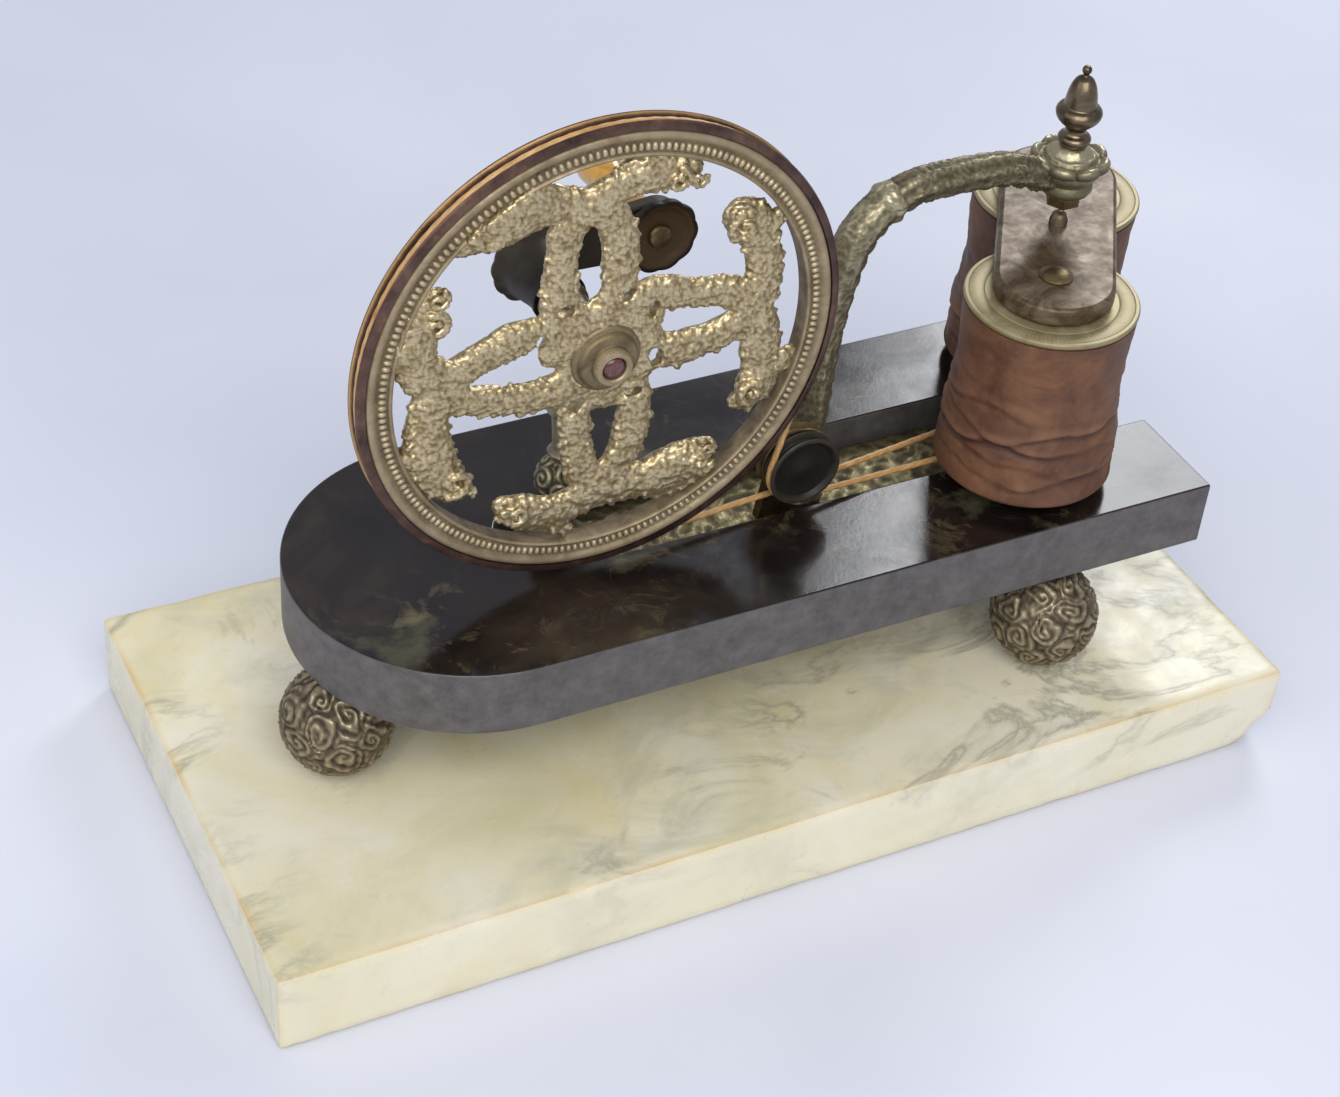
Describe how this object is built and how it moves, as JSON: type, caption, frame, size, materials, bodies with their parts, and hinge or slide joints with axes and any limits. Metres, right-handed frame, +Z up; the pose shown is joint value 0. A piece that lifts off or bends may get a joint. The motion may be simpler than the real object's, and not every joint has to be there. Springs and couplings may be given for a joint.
{
  "type": "magneto-electric machine",
  "caption": "Hand-cranked magneto-electric machine: openwork flywheel with cord drive spins a pair of leather-covered coils over a horseshoe magnet on ball feet and a marble slab.",
  "frame": {"origin": "centre of the marble slab's underside, on the surface it stands on", "axes": "+X along the slab from the magnet's rounded nose to its poles, +Y from the flywheel's open front face towards the crank behind it, +Z up"},
  "size_m": [0.3, 0.144, 0.2078],
  "materials": {
    "marble": "polished, veined",
    "antique_brass": "cast relief, patinated",
    "magnet_steel": "dark polished, worn patina",
    "gilt_brass": "pebbled, worn gilding",
    "dark_bronze": "dark lacquered",
    "polished_steel": "mirror polished",
    "ebony": "turned, waxed",
    "horn": "turned horn, polished",
    "leather": "worn, creased",
    "flange_brass": "turned, dulled",
    "soft_iron": "turned",
    "red_jewel": "polished cabochon",
    "gut": "twisted gut"
  },
  "bodies": {
    "base": {"marble_slab": "marble", "foot_ball_nose": "antique_brass", "foot_ball_front": "antique_brass", "foot_ball_rear": "antique_brass", "horseshoe_magnet": "magnet_steel", "bed_casting": "antique_brass", "clamp_strap_left": "antique_brass", "clamp_strap_right": "antique_brass", "clamp_screw_left": "soft_iron", "clamp_screw_right": "soft_iron", "wheel_pillar": "antique_brass", "axle_bearing": "dark_bronze", "guide_bracket": "antique_brass", "guide_pin": "soft_iron", "swan_neck_arm": "antique_brass", "pivot_rosette": "antique_brass", "pivot_lock_nut": "antique_brass", "pivot_cup": "soft_iron", "contact_spring_front": "gilt_brass", "contact_spring_rear": "gilt_brass", "drive_cord": "gut"},
    "flywheel": {"wheel_rim": "dark_bronze", "wheel_spider": "gilt_brass", "hub_cap": "antique_brass", "hub_jewel": "red_jewel", "hub_collar": "dark_bronze", "axle": "soft_iron", "crank_boss": "ebony", "crank_arm": "ebony", "crank_cup": "ebony", "handle_pin": "antique_brass"},
    "grip": {"handle_grip": "horn"},
    "armature": {"armature_spindle": "soft_iron", "spindle_pulley": "gilt_brass", "commutator_collar": "gilt_brass", "yoke_bar": "polished_steel", "coil_core_front": "soft_iron", "coil_core_rear": "soft_iron", "coil_bobbin_front": "flange_brass", "coil_bobbin_rear": "flange_brass", "coil_winding_front": "leather", "coil_winding_rear": "leather", "yoke_screw_front": "antique_brass", "yoke_screw_rear": "antique_brass"},
    "guide_front": {"guide_pulley_front": "ebony"},
    "guide_rear": {"guide_pulley_rear": "gilt_brass"},
    "pivot": {"pivot_screw": "soft_iron", "acorn_finial": "dark_bronze"}
  },
  "joints": [
    {"name": "armature_spin", "type": "hinge", "parent": "base", "child": "armature", "pos_m": [0.1023, 0.00675, 0.0794], "axis": [0, 0, 1], "continuous": true},
    {"name": "wheel_spin", "type": "hinge", "parent": "base", "child": "flywheel", "pos_m": [-0.0426, -0.0113, 0.1433], "axis": [0, 1, 0], "continuous": true},
    {"name": "guide_front_spin", "type": "hinge", "parent": "base", "child": "guide_front", "pos_m": [0.0201, -0.0096, 0.08935], "axis": [0, 1, 0], "continuous": true},
    {"name": "guide_rear_spin", "type": "hinge", "parent": "base", "child": "guide_rear", "pos_m": [0.0201, -0.0048, 0.08935], "axis": [0, 1, 0], "continuous": true},
    {"name": "grip_spin", "type": "hinge", "parent": "flywheel", "child": "grip", "pos_m": [-0.00744, 0.0352, 0.14502], "axis": [0, 1, 0], "continuous": true},
    {"name": "pivot_adjust", "type": "hinge", "parent": "base", "child": "pivot", "pos_m": [0.1023, 0.00675, 0.1564], "axis": [0, 0, 1], "range_deg": [-90, 90]}
  ],
  "couplings": [
    {"joint": "wheel_spin", "follows": "armature_spin", "ratio": 0.10794},
    {"joint": "guide_front_spin", "follows": "armature_spin", "ratio": -0.69388},
    {"joint": "guide_rear_spin", "follows": "armature_spin", "ratio": 0.69388}
  ]
}
